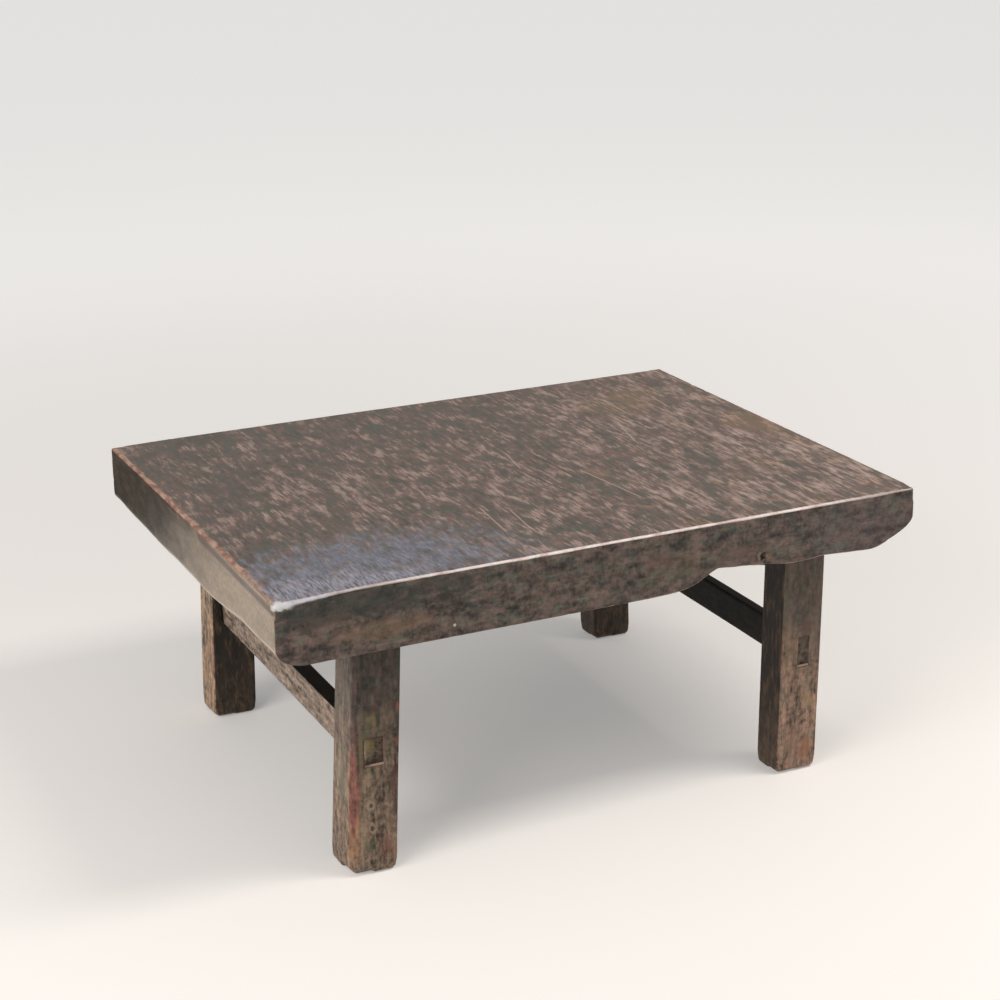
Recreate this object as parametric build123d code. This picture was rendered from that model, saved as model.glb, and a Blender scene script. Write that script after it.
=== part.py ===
from build123d import *
import os

# A low kang table: one thick waney plank on four splayed legs, with a stretcher at each short end.
# Millimetres. X runs along the plank, Y to the back and Z up.
# The origin is on the floor under the middle of the plank.

# ---- Plank ----
table_length = 850.0
table_depth = 640.0
table_height = 383.0
slab_thick = 81.0
slab_arris = 3.0  # worn round along the front, the back and the upper ends

# Lower end bevels. Rise is up from the underside, run is in from the end, and the pull points
# bend the curve between them.
left_bevel_rise = 21.0
left_bevel_run = 33.0
left_bevel_upper_pull = 9.0
left_bevel_lower_pull = 22.0
right_bevel_rise = 47.0
right_bevel_run = 85.0
right_bevel_upper_pull = 17.0
right_bevel_lower_pull = 65.0
right_bevel_lower_lift = 14.0

# Wane: the natural edge of the log along the right of the front lower arris.
# Each point is the distance in from the right end and the rise above the underside.
wane_points = [
    (312.0, 8.5),
    (286.0, 22.5),
    (250.0, 19.0),
    (220.0, 17.0),
    (185.0, 11.5),
    (135.0, 14.0),
    (52.0, 9.5),
]
wane_start = 345.0
wane_end_rise = 8.0
wane_slope = 21.0  # degrees by which the wane falls back to the underside

# Hollow old knot at the wane, in from the right end and up from the underside
knot_inset = 219.0
knot_rise = 28.0
knot_radius = 15.0
knot_proud = 9.0  # how far its centre stands out of the front face

# ---- Legs ----
leg_inset_x = 105.0  # from the end of the plank to the leg's outer face, at the shoulder
leg_inset_y = 36.0  # from the front or back of the plank to the leg, at the shoulder
leg_width = 60.0  # along X
foot_bevel = 4.0
leg_arris = 2.0
front_left_arris = 6.0  # the one arris that is worn flat

# Hewn by hand, so no two are alike: depth along Y at the shoulder and at the foot, splay of the
# foot outwards along X, and lean of the foot inwards along Y
legs = {
    "front_left": {"depth": 55.0, "foot_depth": 65.0, "splay": 11.0, "lean": 5.0},
    "back_left": {"depth": 49.0, "foot_depth": 57.0, "splay": 11.0, "lean": 4.0},
    "front_right": {"depth": 48.0, "foot_depth": 48.0, "splay": 4.0, "lean": 10.0},
    "back_right": {"depth": 48.0, "foot_depth": 48.0, "splay": 9.0, "lean": 5.0},
}

# Blind tenon of each leg into the plank
leg_tenon_width = 34.0
leg_tenon_depth = 26.0
leg_tenon_height = 46.0
mortise_end_gap = 2.0  # past the tenon's end, where the fox wedge is driven home
fit_gap = 0.2  # between a tenon's cheeks and its mortise

# Fox wedge in the saw kerf of each leg tenon
fox_wedge_thick = 4.0
fox_wedge_tip = 1.2
fox_wedge_length = 30.0

# ---- Stretchers ----
stretcher_height = 43.0
stretcher_arris = 1.5
stretcher_offset = 2.5  # outwards from the middle of the legs
left_stretcher_thick = 23.5
left_stretcher_mid = 158.0  # height of its middle above the floor
right_stretcher_thick = 16.0
right_stretcher_mid = 171.0

# Through tenon, with a wedge driven in under it. The zone is the height of tenon and wedge
# together, at the leg's outer face.
tenon_top_shoulder = 1.5
left_tenon_zone = 36.0
right_tenon_zone = 41.0
wedge_thick = 3.0
wedge_tip = 1.0

# ---- What follows from them ----
half_length = table_length / 2
half_depth = table_depth / 2
underside = table_height - slab_thick
overshoot = 20.0  # how far a cutting solid runs past what it cuts


def side_of(name):
    """The signs of X and Y on which a leg stands."""
    x_side = -1 if name.endswith("left") else 1
    y_side = -1 if name.startswith("front") else 1
    return x_side, y_side


def leg_faces(name, height):
    """The outer and inner X, and the outer and inner Y, of a leg at a height above the floor."""
    x_side, y_side = side_of(name)
    leg = legs[name]
    share = 1 - height / underside
    depth = leg["depth"] + (leg["foot_depth"] - leg["depth"]) * share
    outer_x = x_side * (half_length - leg_inset_x + leg["splay"] * share)
    outer_y = y_side * (half_depth - leg_inset_y - leg["lean"] * share)
    return outer_x, outer_x - x_side * leg_width, outer_y, outer_y - y_side * depth


def leg_section(name, height, inset):
    """The leg's outline at a height, with its arrises cut off, drawn in by the inset."""
    outer_x, inner_x, outer_y, inner_y = leg_faces(name, height)
    x_side, y_side = side_of(name)
    worn = front_left_arris if name == "front_left" else leg_arris
    corners = [
        (outer_x - x_side * inset, outer_y - y_side * inset, worn),
        (inner_x + x_side * inset, outer_y - y_side * inset, leg_arris),
        (inner_x + x_side * inset, inner_y + y_side * inset, leg_arris),
        (outer_x - x_side * inset, inner_y + y_side * inset, leg_arris),
    ]
    points = []
    for here, (x, y, cut) in enumerate(corners):
        before = corners[here - 1]
        after = corners[(here + 1) % len(corners)]
        for other in (before, after):
            along_x = (other[0] > x) - (other[0] < x) if other[1] == y else 0
            along_y = (other[1] > y) - (other[1] < y) if other[0] == x else 0
            points.append((x + cut * along_x, y + cut * along_y, height))
    return Face(Wire(Polyline(*points, close=True).edges()))


def leg_body(name):
    """The leg below its shoulder, before any joint is cut."""
    sections = [
        leg_section(name, underside, 0.0),
        leg_section(name, foot_bevel, 0.0),
        leg_section(name, 0.0, foot_bevel),
    ]
    return loft(sections, ruled=True)


def block(x_range, y_range, z_range):
    """A box between two values on each axis."""
    sizes = [abs(high - low) for low, high in (x_range, y_range, z_range)]
    middle = [(low + high) / 2 for low, high in (x_range, y_range, z_range)]
    return Pos(*middle) * Box(*sizes)


def prism_along_x(points, x_low, x_high):
    """A solid of one outline in the YZ plane, from one X to another."""
    outline = Face(Wire(Polyline(*[(x_low, y, z) for y, z in points], close=True).edges()))
    return extrude(outline, amount=x_high - x_low, dir=(1, 0, 0))


def prism_along_y(points, y_low, y_high):
    """A solid of one outline in the XZ plane, from one Y to another."""
    outline = Face(Wire(Polyline(*[(x, y_low, z) for x, z in points], close=True).edges()))
    return extrude(outline, amount=y_high - y_low, dir=(0, 1, 0))


# ---- Leg joint: blind tenon and fox wedge ----
def leg_tenon_centre(name):
    """The middle of the leg's shoulder, where its tenon stands."""
    outer_x, inner_x, outer_y, inner_y = leg_faces(name, underside)
    return (outer_x + inner_x) / 2, (outer_y + inner_y) / 2


def leg_tenon(name, gap, height):
    """The upright block of a leg tenon, or with a gap and a greater height its mortise."""
    x, y = leg_tenon_centre(name)
    half_w = leg_tenon_width / 2 + gap
    half_d = leg_tenon_depth / 2 + gap
    return block((x - half_w, x + half_w), (y - half_d, y + half_d), (underside, underside + height))


def fox_wedge(name):
    """The wedge that the mortise's end drives into the leg tenon's kerf."""
    x, y = leg_tenon_centre(name)
    top = underside + leg_tenon_height + mortise_end_gap
    bottom = top - fox_wedge_length
    points = [
        (x - fox_wedge_tip / 2, bottom),
        (x + fox_wedge_tip / 2, bottom),
        (x + fox_wedge_thick / 2, top),
        (x - fox_wedge_thick / 2, top),
    ]
    return prism_along_y(points, y - leg_tenon_depth / 2, y + leg_tenon_depth / 2)


# ---- Stretcher joint: through tenon and wedge ----
def stretcher_side(name):
    """The side, left or right, of the stretcher that a leg holds."""
    return "left" if name.endswith("left") else "right"


def stretcher_mid(side):
    """The height of the stretcher's middle above the floor."""
    return left_stretcher_mid if side == "left" else right_stretcher_mid


def stretcher_x(side):
    """The low and high X of a stretcher, a little outside the middle of its two legs."""
    thick = left_stretcher_thick if side == "left" else right_stretcher_thick
    middles = []
    for end in ("front", "back"):
        outer_x, inner_x, _, _ = leg_faces(f"{end}_{side}", stretcher_mid(side))
        middles.append((outer_x + inner_x) / 2)
    outwards = -1 if side == "left" else 1
    middle = sum(middles) / len(middles) + outwards * stretcher_offset
    return middle - thick / 2, middle + thick / 2


def tenon_heights(side):
    """The bottom and top of a stretcher's tenons, which leave room for the wedge below."""
    zone = left_tenon_zone if side == "left" else right_tenon_zone
    top = stretcher_mid(side) + stretcher_height / 2 - tenon_top_shoulder
    return top - zone + wedge_thick, top


def through_tenon(name, gap):
    """The tenon in the leg, or with a gap at its cheeks the mortise that it fills."""
    side = stretcher_side(name)
    low_x, high_x = stretcher_x(side)
    bottom, top = tenon_heights(side)
    _, _, outer_y, inner_y = leg_faces(name, stretcher_mid(side))
    _, y_side = side_of(name)
    y_range = (outer_y + y_side * overshoot, inner_y - y_side * overshoot)
    return block((low_x - gap, high_x + gap), sorted(y_range), (bottom, top))


def tenon_wedge_blank(name, gap):
    """The long wedge under a tenon, thick at the outer face and thin at the inner, uncut."""
    side = stretcher_side(name)
    low_x, high_x = stretcher_x(side)
    bottom, _ = tenon_heights(side)
    _, _, outer_y, inner_y = leg_faces(name, stretcher_mid(side))
    _, y_side = side_of(name)
    taper =(wedge_thick - wedge_tip) / abs(outer_y - inner_y)
    far_out = outer_y + y_side * overshoot
    far_in = inner_y - y_side * wedge_tip
    points = [
        (far_out, bottom),
        (far_in, bottom),
        (far_in, bottom - wedge_tip + taper * wedge_tip),
        (far_out, bottom - wedge_thick - taper * overshoot),
    ]
    return prism_along_x(points, low_x - gap, high_x + gap)


# ---- The pieces ----
def make_slab():
    """The plank, with its end bevels, wane, hollow knot and four blind mortises."""
    left_toe = (-half_length, underside + left_bevel_rise)
    left_heel = (-half_length + left_bevel_run, underside)
    right_heel = (half_length - right_bevel_run, underside)
    right_toe = (half_length, underside + right_bevel_rise)
    outline = Curve() + [
        Polyline(right_toe, (half_length, table_height), (-half_length, table_height), left_toe),
        Bezier(
            left_toe,
            (left_toe[0], left_toe[1] - left_bevel_upper_pull),
            (left_heel[0] - left_bevel_lower_pull, underside),
            left_heel,
        ),
        Line(left_heel, right_heel),
        Bezier(
            right_heel,
            (right_heel[0] + right_bevel_lower_pull, underside + right_bevel_lower_lift),
            (right_toe[0], right_toe[1] - right_bevel_upper_pull),
            right_toe,
        ),
    ]
    plank = extrude(Plane.XZ * make_face(outline), amount=half_depth, both=True)
    long_loops = [edge for edge in plank.edges() if abs(edge.center().Y) > half_depth - 1]
    top_ends = [
        edge for edge in plank.edges().filter_by(Axis.Y) if edge.center().Z > table_height - 1
    ]
    plank = fillet(long_loops + top_ends, slab_arris)
    plank -= wane_cutter()
    plank -= Pos(
        half_length - knot_inset, -half_depth - knot_proud, underside + knot_rise
    ) * Sphere(knot_radius)
    for name in legs:
        plank -= leg_tenon(name, fit_gap, leg_tenon_height + mortise_end_gap)
    return plank


def wane_cutter():
    """What the log never had: the space under the wane, falling back as it goes in."""
    slope = Vector(0, 1, 0).rotate(Axis.X, -wane_slope)
    start_y = -half_depth - overshoot
    lift = overshoot * abs(slope.Z / slope.Y)
    points = [(half_length - inset, start_y, underside + rise + lift) for inset, rise in wane_points]
    first = (half_length - wane_start, start_y, underside + lift)
    last = (half_length + overshoot, start_y, underside + wane_end_rise + lift)
    edge = Spline(first, *points, last, tangents=[(1, 0, 0), (1, 0, 0)])
    below = underside - 2 * slab_thick
    rest = Polyline(last, (last[0], start_y, below), (first[0], start_y, below), first)
    run = slab_thick / abs(slope.Z)
    return extrude(Face(Wire(edge.edges() + rest.edges())), amount=run, dir=slope)


def make_leg(name):
    """A leg with its kerfed tenon on top and the stretcher's mortise through it."""
    leg = leg_body(name) + leg_tenon(name, 0.0, leg_tenon_height)
    leg -= fox_wedge(name)
    leg -= through_tenon(name, fit_gap)
    leg -= tenon_wedge_blank(name, fit_gap)
    return leg


def make_stretcher(side):
    """A stretcher whose shoulders are scribed to its legs, with a through tenon at each end."""
    names = [f"front_{side}", f"back_{side}"]
    middle = stretcher_mid(side)
    ends = [sum(leg_faces(name, middle)[2:]) / 2 for name in names]
    heights = (middle - stretcher_height / 2, middle + stretcher_height / 2)
    rail = block(stretcher_x(side), sorted(ends), heights)
    rail = fillet(rail.edges().filter_by(Axis.Y), stretcher_arris)
    for name in names:
        rail -= leg_body(name)
    for name in names:
        rail += through_tenon(name, 0.0) & leg_body(name)
    return rail


def make_tenon_wedge(name):
    """The wedge under a through tenon, trimmed flush with the leg."""
    return tenon_wedge_blank(name, 0.0) & leg_body(name)


pieces = {"slab_top": make_slab()}
for side in ("left", "right"):
    pieces[f"stretcher_{side}"] = make_stretcher(side)
for name in legs:
    pieces[f"leg_{name}"] = make_leg(name)
    pieces[f"leg_wedge_{name}"] = fox_wedge(name)
    pieces[f"stretcher_wedge_{name}"] = make_tenon_wedge(name)

os.makedirs("parts", exist_ok=True)
for node, shape in pieces.items():
    export_step(shape, f"parts/{node}.step")
    box = shape.bounding_box()
    print(node, len(shape.solids()), "solid", [round(v, 1) for v in (*box.min, *box.max)])
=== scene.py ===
# %% [markdown]
# # A worn kang table
#
# A kang table is a low table that stands on the heated brick platform of a north Chinese house.
# This one is as plain as they come: one thick elm plank, four square legs, and a stretcher at each
# short end. The lesson builds what time has done to it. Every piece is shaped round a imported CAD
# model, which fixes where each one is and how large it is, and then worn, chipped and lacquered.

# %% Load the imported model, which is the frame for everything below
import math

import bpy
import numpy as np
from mathutils import Matrix, Vector, noise


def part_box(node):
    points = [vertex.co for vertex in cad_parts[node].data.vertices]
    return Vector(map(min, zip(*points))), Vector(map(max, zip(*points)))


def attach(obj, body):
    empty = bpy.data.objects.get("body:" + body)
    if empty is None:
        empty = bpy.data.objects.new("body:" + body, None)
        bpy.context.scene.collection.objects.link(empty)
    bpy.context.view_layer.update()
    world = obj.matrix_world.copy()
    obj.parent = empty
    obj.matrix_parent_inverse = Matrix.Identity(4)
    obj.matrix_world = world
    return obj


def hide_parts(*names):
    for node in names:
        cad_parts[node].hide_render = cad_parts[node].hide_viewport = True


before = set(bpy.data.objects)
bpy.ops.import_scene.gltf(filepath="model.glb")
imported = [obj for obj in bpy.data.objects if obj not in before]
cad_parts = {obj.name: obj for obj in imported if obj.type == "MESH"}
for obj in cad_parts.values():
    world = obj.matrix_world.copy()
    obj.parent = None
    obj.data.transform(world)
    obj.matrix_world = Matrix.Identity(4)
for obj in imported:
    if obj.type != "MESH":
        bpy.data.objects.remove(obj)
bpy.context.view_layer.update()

MM = 0.001
LEGS = ("front_left", "back_left", "front_right", "back_right")

# %% [markdown]
# ## Three helpers
#
# Colours are easiest to pick as the hex values that a colour picker shows, but Blender's nodes
# want linear light, so one function turns the one into the other. The second adds any node to any
# tree, with its settings and its links, so that each recipe below reads as a list. Every material
# starts with a couple of nodes of Blender's own, so a third function clears them away.

# %% Colours and nodes
def linear(hex_colour):
    """A hex colour such as #7a6a5c as linear red, green, blue and alpha."""
    parts = [int(hex_colour[k:k + 2], 16) / 255 for k in (1, 3, 5)]
    return [p / 12.92 if p <= 0.04045 else ((p + 0.055) / 1.055) ** 2.4 for p in parts] + [1.0]


def add(tree, kind, inputs=None, out=0, **settings):
    """Adds a node with its settings, fills its inputs and returns one of its outputs.
    An input is a number, a vector, a hex colour, or another node's output to link from."""
    made = tree.nodes.new(kind)
    for key, value in settings.items():
        setattr(made, key, value)
    for key, value in (inputs or {}).items():
        socket = made.inputs[key]
        if isinstance(value, bpy.types.NodeSocket):
            tree.links.new(value, socket)
        elif isinstance(value, str) and value.startswith("#"):
            socket.default_value = linear(value)
        else:
            socket.default_value = value
    return made.outputs[out] if made.outputs else made


def empty_tree(owner):
    """The node tree of a material or a world, with nothing in it yet."""
    owner.use_nodes = True
    owner.node_tree.nodes.clear()
    return owner.node_tree


MATH, VECTOR, MIX, RANGE = ("ShaderNodeMath", "ShaderNodeVectorMath", "ShaderNodeMix",
                            "ShaderNodeMapRange")
print("mid grey as linear light:", round(linear("#808080")[0], 3))

# %% [markdown]
# ## The camera
#
# The table is looked at from its front left, a little above a seated person's eye. The lens is
# long, so the far legs are only a little smaller than the near ones.

# %% Camera
CAMERA_AT = Vector((-1.10749, -2.32430, 1.21380))
CAMERA_YAW = math.radians(25.529)    # turned to the right of +Y
CAMERA_PITCH = math.radians(18.809)  # down
CAMERA_ROLL = math.radians(0.660)
CAMERA_LENS = 74.96                  # mm, on a 36 mm sensor

ahead = Vector((math.sin(CAMERA_YAW) * math.cos(CAMERA_PITCH),
                math.cos(CAMERA_YAW) * math.cos(CAMERA_PITCH),
                -math.sin(CAMERA_PITCH)))
level = Vector((math.cos(CAMERA_YAW), -math.sin(CAMERA_YAW), 0.0))
downward = ahead.cross(level)
image_right = level * math.cos(CAMERA_ROLL) + downward * math.sin(CAMERA_ROLL)
image_up = level * math.sin(CAMERA_ROLL) - downward * math.cos(CAMERA_ROLL)

camera = bpy.data.objects.new("camera", bpy.data.cameras.new("camera"))
camera.data.sensor_width = 36.0
camera.data.lens = CAMERA_LENS
camera.data.clip_end = 60.0
camera.location = CAMERA_AT
camera.rotation_mode = "QUATERNION"
camera.rotation_quaternion = Matrix((image_right, image_up, -ahead)).transposed().to_quaternion()
bpy.context.scene.collection.objects.link(camera)
bpy.context.scene.camera = camera
bpy.context.scene.view_settings.view_transform = "Standard"
print("camera", round(CAMERA_AT.length, 2), "m from the origin")

# %% [markdown]
# ## The plank's form
#
# The plank is one slice of an elm log, about 80 mm thick. Its ends are cut away below in a curve,
# and along the right of its front the saw ran out of the log, which left the wane: the log's own
# round edge. It could be carved from a box by hand, but each of these forms is a height above the
# underside, so the plank is a closed grid whose lower face follows that height. The grid's lines
# crowd together at the arrises, where the wear needs small faces.

# %% Noise at many points
def noise_at(points_mm, size_mm, seed, stretch=(1.0, 1.0, 1.0)):
    """Smooth noise from about -1 to 1 at every point. Its lumps are about size_mm across."""
    scaled = points_mm / (size_mm * np.array(stretch)) + seed * 17.31
    return np.array([noise.noise(p) for p in scaled.tolist()])


def ease(value, low, high):
    """0 below low, 1 above high and a smooth step between them."""
    t = np.clip((value - low) / (high - low), 0.0, 1.0)
    return t * t * (3 - 2 * t)


# %% The bevels under the two ends
PLANK_LOW, PLANK_HIGH = [np.array(corner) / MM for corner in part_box("slab_top")]
UNDERSIDE, TOP = PLANK_LOW[2], PLANK_HIGH[2]
LEFT_BEVEL = [(0, 25), (0, 14), (13, 0), (39, 0)]  # distance in from the end, and rise, in mm
RIGHT_BEVEL = [(0, 45), (2, 28), (34, 20.5), (72, 0)]


def bezier(points, count):
    """Points along a cubic curve between its two ends, bent towards its two pull points."""
    t = np.linspace(0.0, 1.0, count)[:, None]
    start, pull, last_pull, end = np.array(points, float)
    return (start * (1 - t) ** 3 + 3 * pull * t * (1 - t) ** 2
            + 3 * last_pull * t ** 2 * (1 - t) + end * t ** 3)


def bevel_rise(inset, bevel, size):
    """How far a bevel lifts the lower face at this distance in from the end."""
    line = bezier(bevel, 60)
    return np.interp(inset / size, line[:, 0], line[:, 1]) * size


# The left bevel is full at the near corner only, and wavers behind it
along_end = np.arange(-330.0, 331.0, 5.0)
end_places = np.stack([along_end * 0, along_end, along_end * 0], axis=1)
left_size = 1 - 0.36 * ease(along_end, -210, -140) + 0.14 * noise_at(end_places, 55, 21)
print("left bevel, share of its full size:",
      left_size.min().round(2), "to", left_size.max().round(2))

# %% The wane along the right of the front
# Its edge on the front face: distance in from the right end, and rise, in mm
WANE_EDGE = [(375, 0), (345, 1), (326, 3), (312, 8), (300, 15), (285, 22), (261, 20.5), (237, 17.5),
             (218, 16.5), (185, 10.5), (153, 11), (135, 13), (94, 10.5), (52, 8), (0, 6.5)]
WANE_FALL = math.tan(math.radians(21.0))
fine_x = np.arange(-430.0, 431.0, 1.0)
edge_x, edge_rise = zip(*sorted((425 - inset, rise) for inset, rise in WANE_EDGE))
rough_wane = np.interp(fine_x, edge_x, edge_rise)
soften = np.hanning(15) / np.hanning(15).sum()
wane_line = np.convolve(np.pad(rough_wane, 7, mode="edge"), soften, "valid")


def end_rise(x, y):
    """How far the two end bevels lift the plank's lower face, in mm."""
    left = bevel_rise(x - PLANK_LOW[0], LEFT_BEVEL, np.interp(y, along_end, left_size))
    return np.maximum(left, bevel_rise(PLANK_HIGH[0] - x, RIGHT_BEVEL, 1.0))


FILLET = 7.0  # mm, over which the wane and a bevel run into each other


def underside_rise(x, y):
    """How far the plank's lower face stands above its underside, in mm."""
    wane = np.interp(x, fine_x, wane_line) - (y - PLANK_LOW[1]) * WANE_FALL
    bevel, wane = end_rise(x, y), np.maximum(wane, 0.0)
    blend = np.maximum(FILLET - np.abs(bevel - wane), 0.0) ** 2 / (4 * FILLET)
    return np.maximum(bevel, wane) + blend * ease(np.minimum(bevel, wane), 0.0, 3.0)


print("wane rises to", round(float(wane_line.max()), 1), "mm")

# %% A closed grid in the shape of a box
def crowded(low, high, step, edges=(0.0, 0.5, 1.1, 1.9, 2.9, 4.2, 6.0, 8.2, 11.0)):
    """Grid lines from low to high, a step apart, and closer together at both ends."""
    inner = np.linspace(low + edges[-1], high - edges[-1],
                        int((high - low - 2 * edges[-1]) / step) + 1)
    ends = np.array(edges[:-1])
    return np.concatenate([low + ends, inner, (high - ends)[::-1]])


def box_shell(counts):
    """The grid places on the surface of a box, and the faces between them, turned outwards."""
    place = np.full(counts, -1)
    shell = np.ones(counts, bool)
    shell[1:-1, 1:-1, 1:-1] = False
    grid = np.argwhere(shell)
    place[shell] = np.arange(len(grid))
    faces = []
    for axis in range(3):
        for end in (0, -1):
            side = np.take(place, end, axis=axis)
            quads = np.stack([side[:-1, :-1], side[1:, :-1], side[1:, 1:], side[:-1, 1:]], axis=-1)
            outward = (axis == 1) == (end == 0)
            quads = quads.reshape(-1, 4)
            faces.append(quads if outward else quads[:, ::-1])
    return grid, np.concatenate(faces)


def make_mesh(name, points_mm, faces, arris_mm):
    """A smooth-shaded mesh object in metres, which keeps each point's distance from an arris."""
    mesh = bpy.data.meshes.new(name)
    mesh.from_pydata((points_mm * MM).tolist(), [], faces.tolist())
    mesh.attributes.new("arris", "FLOAT", "POINT").data.foreach_set(
        "value", arris_mm.astype(np.float32))
    mesh.shade_smooth()
    made = bpy.data.objects.new(name, mesh)
    bpy.context.scene.collection.objects.link(made)
    return made


# %% The plank's grid
KNOT_X, KNOT_Z = 206.0, UNDERSIDE + 25.5
xs = np.unique(np.round(np.concatenate([
    crowded(PLANK_LOW[0], PLANK_HIGH[0], 5.0),
    PLANK_LOW[0] + bezier(LEFT_BEVEL, 14)[:, 0], PLANK_HIGH[0] - bezier(RIGHT_BEVEL, 14)[:, 0],
    np.arange(KNOT_X - 16, KNOT_X + 17, 2.0)]), 2))
xs = xs[np.insert(np.diff(xs) > 0.25, 0, True)]
ys = crowded(PLANK_LOW[1], PLANK_HIGH[1], 5.5)
ws = crowded(0.0, TOP - UNDERSIDE, 2.6) / (TOP - UNDERSIDE)
grid, plank_faces = box_shell((len(xs), len(ys), len(ws)))
x, y = xs[grid[:, 0]], ys[grid[:, 1]]
bottom = UNDERSIDE + underside_rise(x, y)
z = bottom + ws[grid[:, 2]] * (TOP - bottom)
square_points = np.stack([x, y, z], axis=1)

# Distance from the nearest arris: the second smallest of the distances to the faces
to_ends = np.minimum(x - PLANK_LOW[0], PLANK_HIGH[0] - x)
to_long = np.minimum(y - PLANK_LOW[1], PLANK_HIGH[1] - y)
to_top, to_under = TOP - z, z - bottom
arris = np.sort(np.stack([to_ends, to_long, np.minimum(to_top, to_under)]), axis=0)[1]
arris += 4.0 * ease(-to_ends, -45, -30) * ease(-to_under, -25, -5)  # the bevels have no arris
print("plank grid:", len(xs), "by", len(ys), "by", len(ws))

# %% [markdown]
# ## Wear
#
# Old wood is never flat. Noise that is sampled at every grid point, and that only ever takes wood
# away, gives the plane's low ripples, the rounded arrises and the small bites out of them. It
# could be a displacement modifier, but worked out here it can be told where the arrises are.
# Hands and sleeves have rounded the front arris most, and the near left corner has worn down.

# %% Round the plank's arrises
radius = 2.1 + 0.8 * noise_at(square_points, 60, 1) + 0.5 * noise_at(square_points, 14, 2)
front_top = ease(-(y - PLANK_LOW[1]), -22, -14) * ease(-to_top, -22, -14)
left_top = ease(-(x - PLANK_LOW[0]), -22, -14) * ease(-to_top, -22, -14)
near_corner = ease(-(x - PLANK_LOW[0]), -75, -5)
radius += front_top * (2.6 + 2.6 * near_corner + 0.5 * noise_at(square_points, 40, 22))
radius += left_top * (1 - front_top) * (1.6 + 1.2 * noise_at(square_points, 24, 23))
radius -= 1.5 * ease(x, 380, 420)
radius = np.clip(radius, 0.8, 8.0)
at_side = np.abs(y) > PLANK_HIGH[1] - radius
core = np.stack([
    np.clip(x, PLANK_LOW[0] + radius, PLANK_HIGH[0] - radius),
    np.clip(y, PLANK_LOW[1] + radius, PLANK_HIGH[1] - radius),
    np.clip(z, np.where(at_side, bottom + 0.35 * radius, z), TOP - radius)], axis=1)
out = square_points - core
reach = np.linalg.norm(out, axis=1, keepdims=True)
out = np.divide(out, reach, out=np.zeros_like(out), where=reach > 1e-6)
round_points = np.where(reach > 1e-6, core + out * np.minimum(reach, radius[:, None]),
                        square_points)
print("arris radius, mm:", radius.min().round(1), "to", radius.max().round(1))

# %% Wear the plank down
blank = make_mesh("plank_blank", round_points, plank_faces, arris)
normals = np.array([v.vector for v in blank.data.vertex_normals])
ripple = 0.12 * (1 + noise_at(round_points, 130, 3)) + 0.07 * (1 + noise_at(round_points, 26, 4))
bites = 1.9 * ease(-arris, -9.0, 0.0) * np.maximum(0.0, noise_at(round_points, 13, 5) - 0.28)
on_wane = ease(underside_rise(x, y) - end_rise(x, y), 0, 3)
skin = 0.5 * on_wane * ease(-to_under, -1.5, -0.2) * (1 + noise_at(round_points, 18, 6, (2, 1, 1)))
from_knot = np.hypot((x - KNOT_X) * 0.9, z - KNOT_Z) + 3.0 * noise_at(round_points, 5, 7)
knot = 4.5 * ease(-(y - PLANK_LOW[1]), -2.0, 0.0) * ease(-from_knot, -7.0, -1.5)
worn_points = round_points - normals * (ripple + bites + skin + knot)[:, None]

# The top falls away towards its two left corners: where the corner is along Y, how far the top
# falls there, and over how far along X and Y, in mm
CORNER_FALLS = [(PLANK_LOW[1], 3.2, 125, 72), (PLANK_HIGH[1], 1.2, 110, 60)]
fall = 0.0
for corner_y, drop, reach_x, reach_y in CORNER_FALLS:
    away = np.hypot((x - PLANK_LOW[0]) / reach_x, (y - corner_y) / reach_y)
    fall = fall + drop * ease(-away, -1.0, 0.0)
worn_points[:, 2] -= fall * ease(z, TOP - 45, TOP)
worn_points = np.clip(worn_points, PLANK_LOW, PLANK_HIGH)
bpy.data.objects.remove(blank)
plank = make_mesh("plank", worn_points, plank_faces, arris)
print("plank:", len(plank.data.polygons), "faces")

# %% [markdown]
# ## Legs and stretchers
#
# The legs were hewn square and no two are alike, but one rule makes them all: a square bar whose
# section changes from one end to the other, with worn arrises and faces that the adze left a
# little hollow. That is a job for Geometry Nodes: one tree with named inputs, used for four legs
# and two stretchers.

# %% The hewn bar's inputs
BAR_INPUTS = {
    "Start Middle": "Vector", "End Middle": "Vector", "Start Half": "Vector",
    "End Half": "Vector", "Arris": "Float", "Start Arris": "Float", "Flat Arris": "Float",
    "Flat Corner": "Vector", "Hollow": "Float", "Hollow Size": "Float", "Seed": "Float",
    "Cells Round": "Int", "Cells Along": "Int", "Material": "Material",
}
hewn_bar = bpy.data.node_groups.new("hewn_bar", "GeometryNodeTree")
for name, kind in BAR_INPUTS.items():
    hewn_bar.interface.new_socket(name, in_out="INPUT", socket_type=f"NodeSocket{kind}")
hewn_bar.interface.new_socket("Geometry", in_out="OUTPUT", socket_type="NodeSocketGeometry")

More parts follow.
